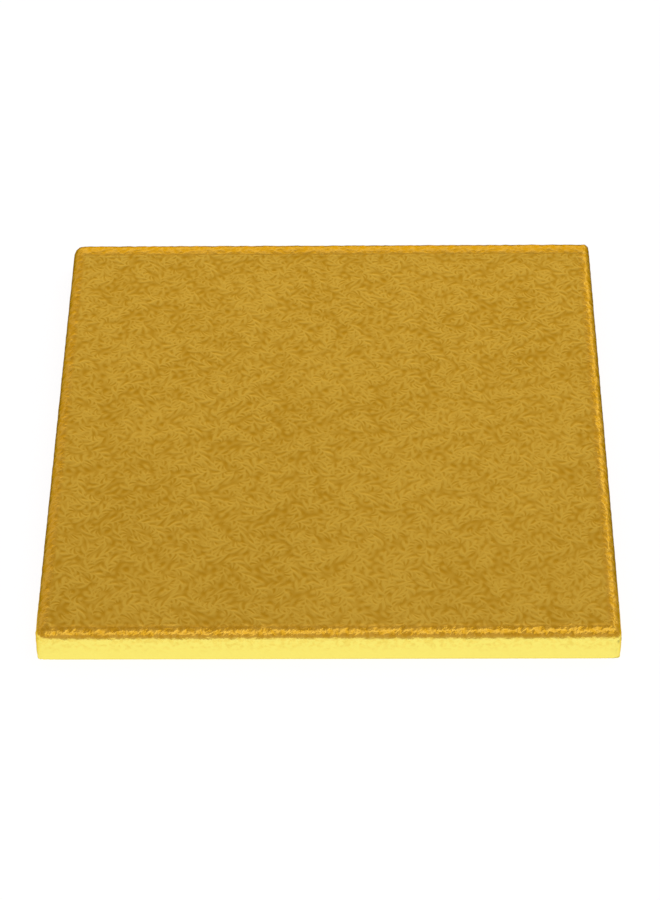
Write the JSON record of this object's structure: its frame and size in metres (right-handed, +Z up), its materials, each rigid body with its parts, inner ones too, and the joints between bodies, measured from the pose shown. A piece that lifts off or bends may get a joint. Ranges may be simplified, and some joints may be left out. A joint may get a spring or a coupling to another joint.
{
  "type": "cake drum board",
  "caption": "Square, thick paperboard cake drum wrapped in embossed gold foil paper, folded round its edges and turned under, with a white lining paper below.",
  "frame": {"origin": "middle of the underside, on the surface the board stands on", "axes": "+Z up out of the face that carries the cake, +X along the front edge to the right, and the front edge faces -Y"},
  "size_m": [0.178, 0.178, 0.012],
  "materials": {
    "paperboard": "matt grey-brown laminated board with cut edges",
    "gold_foil": "metallised gold foil paper, satin, embossed with fine scrolling fronds",
    "white_paper": "matt white lining paper"
  },
  "bodies": {
    "root": {"core_board": "paperboard", "foil_wrap": "gold_foil", "lining_paper": "white_paper"}
  },
  "joints": []
}
